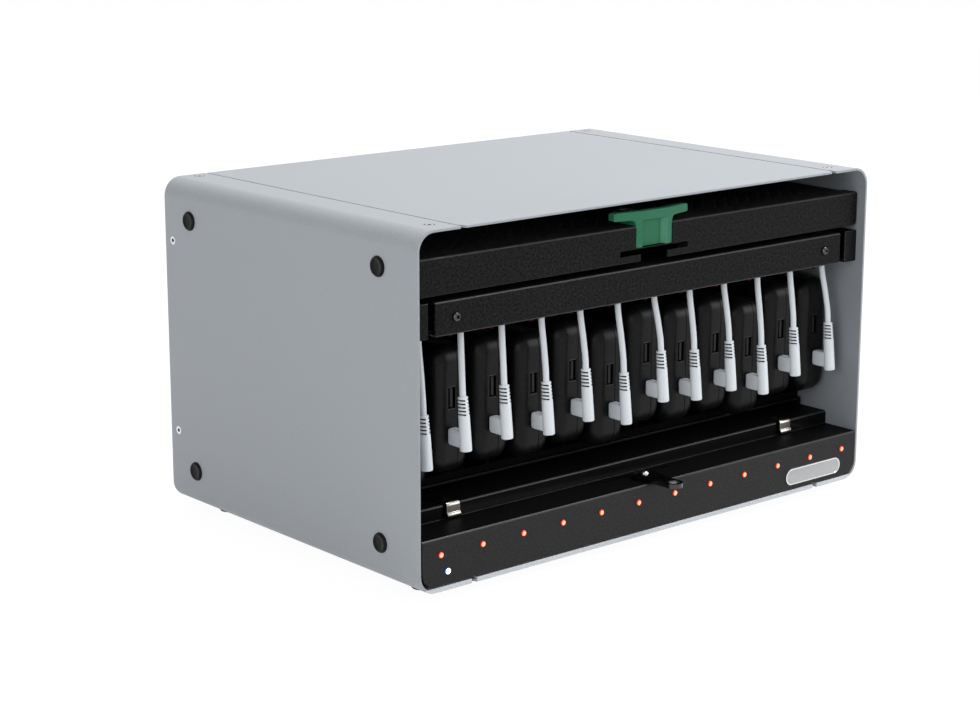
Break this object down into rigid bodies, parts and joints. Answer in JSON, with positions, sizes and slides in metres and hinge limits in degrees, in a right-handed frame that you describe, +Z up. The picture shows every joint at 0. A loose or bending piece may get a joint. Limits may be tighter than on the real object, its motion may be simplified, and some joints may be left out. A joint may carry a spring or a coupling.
{
  "type": "device charging cabinet",
  "caption": "Sheet steel cabinet with an open front, battery packs standing in a rack on short charging leads, status lamps, a padlock hasp and a door stowed under the roof.",
  "frame": {"origin": "middle of the footprint, on the ground under the feet", "axes": "+X to the right of someone facing the front, +Y to the back, +Z up"},
  "size_m": [0.4036, 0.2916, 0.23],
  "materials": {
    "side_paint": "fine grey powder coat",
    "roof_paint": "fine light grey powder coat",
    "floor_paint": "fine grey powder coat",
    "black_paint": "satin black powder coat",
    "door_paint": "satin black powder coat",
    "bright_screw": "bright plated steel",
    "dark_screw": "blackened steel",
    "catch_steel": "plain spring steel",
    "track_steel": "galvanised steel",
    "black_rubber": "matte rubber",
    "black_plastic": "fine matte",
    "rack_foam": "soft closed-cell comb",
    "nylon": "natural nylon",
    "red_lamp": "lit red lamp",
    "white_lamp": "lit white lamp",
    "glow_pipe": "dim red light pipe",
    "badge_metal": "satin plate with a bright rim",
    "green_plastic": "satin moulded green",
    "board_green": "circuit board",
    "socket_plastic": "natural plastic",
    "pack_black": "soft-touch black",
    "lead_white": "smooth white",
    "supply_case": "plain sheet"
  },
  "bodies": {
    "cabinet": {"left_side_panel": "side_paint", "right_side_panel": "side_paint", "roof_panel": "roof_paint", "floor_panel": "floor_paint", "rear_panel": "floor_paint", "roof_screws": "bright_screw", "side_screws": "bright_screw", "side_plugs": "black_rubber", "rubber_feet": "black_rubber", "front_tray": "black_paint", "status_lamps": "red_lamp", "power_lamp": "white_lamp", "lamp_board": "board_green", "badge_plate": "badge_metal", "catch_rivets": "black_paint", "hasp_screw": "bright_screw", "hasp_washer": "nylon", "left_track": "track_steel", "right_track": "track_steel", "track_glides": "nylon", "lead_bar": "door_paint", "bar_screws": "dark_screw", "left_bar_bracket": "door_paint", "right_bar_bracket": "door_paint", "lead_rail": "black_paint", "lead_grommets": "black_rubber", "charging_board": "board_green", "board_sockets": "socket_plastic", "board_lamps": "glow_pipe", "rack_shelf": "black_paint", "rack_dividers": "rack_foam", "power_supply": "supply_case", "mains_inlet": "black_plastic", "switch_body": "black_plastic", "charging_leads": "lead_white", "lead_plugs": "lead_white", "battery_pack_1": "pack_black", "battery_pack_2": "pack_black", "battery_pack_3": "pack_black", "battery_pack_4": "pack_black", "battery_pack_5": "pack_black", "battery_pack_6": "pack_black", "battery_pack_7": "pack_black", "battery_pack_8": "pack_black", "battery_pack_9": "pack_black", "battery_pack_10": "pack_black", "battery_pack_11": "pack_black", "battery_pack_12": "pack_black"},
    "door": {"door_panel": "door_paint", "door_handle": "green_plastic", "handle_screws": "dark_screw", "door_runners": "nylon", "lock_body": "black_plastic"},
    "lock": {"lock_cylinder": "bright_screw"},
    "hasp": {"hasp_tongue": "door_paint"},
    "left_catch_strip": {"left_catch": "catch_steel"},
    "right_catch_strip": {"right_catch": "catch_steel"},
    "rocker": {"rocker_key": "black_plastic"}
  },
  "joints": [
    {"name": "door_slide", "type": "slide", "parent": "cabinet", "child": "door", "axis": [0, -1, 0], "range_m": [0, 0.155]},
    {"name": "lock_turn", "type": "hinge", "parent": "door", "child": "lock", "pos_m": [0, -0.09075, 0.21], "axis": [0, 0, 1], "range_deg": [0, 90]},
    {"name": "hasp_swivel", "type": "hinge", "parent": "cabinet", "child": "hasp", "pos_m": [0, -0.11275, 0.0432], "axis": [0, 0, 1], "range_deg": [-90, 90]},
    {"name": "left_catch_flex", "type": "hinge", "parent": "cabinet", "child": "left_catch_strip", "pos_m": [-0.152, -0.09445, 0.0508], "axis": [1, 0, 0], "range_deg": [0, 9], "stiffness_Nm_per_rad": 0.3},
    {"name": "right_catch_flex", "type": "hinge", "parent": "cabinet", "child": "right_catch_strip", "pos_m": [0.152, -0.09445, 0.0508], "axis": [1, 0, 0], "range_deg": [0, 9], "stiffness_Nm_per_rad": 0.3},
    {"name": "rocker_tilt", "type": "hinge", "parent": "cabinet", "child": "rocker", "pos_m": [-0.11, 0.13975, 0.035], "axis": [1, 0, 0], "range_deg": [-16, 0]}
  ]
}
